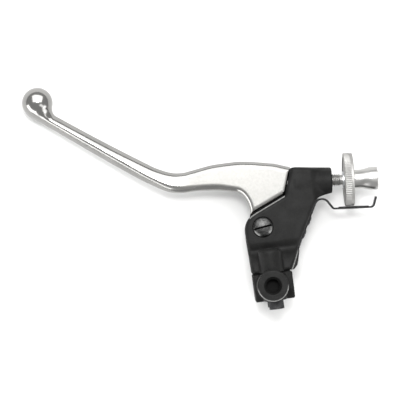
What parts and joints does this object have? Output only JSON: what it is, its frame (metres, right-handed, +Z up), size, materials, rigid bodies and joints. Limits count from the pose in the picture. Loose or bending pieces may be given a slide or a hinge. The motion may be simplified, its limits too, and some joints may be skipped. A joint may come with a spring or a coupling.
{
  "type": "clutch lever",
  "caption": "Cable clutch lever: black cast perch with a bolted clamp cap and mirror boss, dog-leg aluminium ball-end lever, and a knurled cable adjuster held by a leaf spring.",
  "frame": {"origin": "centre of the handlebar bore, midway along the clamp", "axes": "+X along the handlebar towards the cable adjuster, +Y forward and away from the rider, +Z up and parallel to the lever's pivot"},
  "size_m": [0.2292, 0.1665, 0.0541],
  "materials": {
    "cast_black": "satin",
    "cap_black": "satin",
    "black_steel": "satin",
    "zinc_steel": "satin",
    "dark_steel": "satin",
    "shim_bronze": "satin",
    "nylon": "satin",
    "lever_aluminium": "polished",
    "bush_brass": "satin",
    "spring_steel": "satin",
    "nickel": "polished",
    "wheel_satin": "satin",
    "seat_nylon": "matte"
  },
  "bodies": {
    "perch": {"perch_body": "cast_black", "clamp_cap": "cap_black", "clamp_screws": "black_steel", "clamp_washers": "zinc_steel", "pivot_screw": "dark_steel", "pivot_shims": "shim_bronze", "pivot_nut_washer": "zinc_steel", "pivot_nut": "zinc_steel", "pivot_nut_insert": "nylon", "leaf_spring": "spring_steel", "leaf_screws": "black_steel"},
    "lever": {"lever": "lever_aluminium", "pivot_bush": "bush_brass"},
    "housing_seat": {"cable_seat": "seat_nylon"},
    "adjuster": {"adjuster_barrel": "nickel", "adjuster_wheel": "wheel_satin", "wheel_circlip": "zinc_steel"}
  },
  "joints": [
    {"name": "lever_pull", "type": "hinge", "parent": "perch", "child": "lever", "pos_m": [-0.002, 0.0305, 0], "axis": [0, 0, 1], "range_deg": [0, 32]},
    {"name": "adjuster_travel", "type": "slide", "parent": "perch", "child": "housing_seat", "axis": [0.9969, -0.0785, 0], "range_m": [-0.007, 0.008]},
    {"name": "adjuster_turn", "type": "hinge", "parent": "housing_seat", "child": "adjuster", "pos_m": [0.0477, 0.0554, 0], "axis": [0.9969, -0.0785, 0], "range_deg": [-2016, 2304]}
  ],
  "couplings": [
    {"joint": "adjuster_travel", "follows": "adjuster_turn", "m_per_rad": 0.00019894}
  ]
}
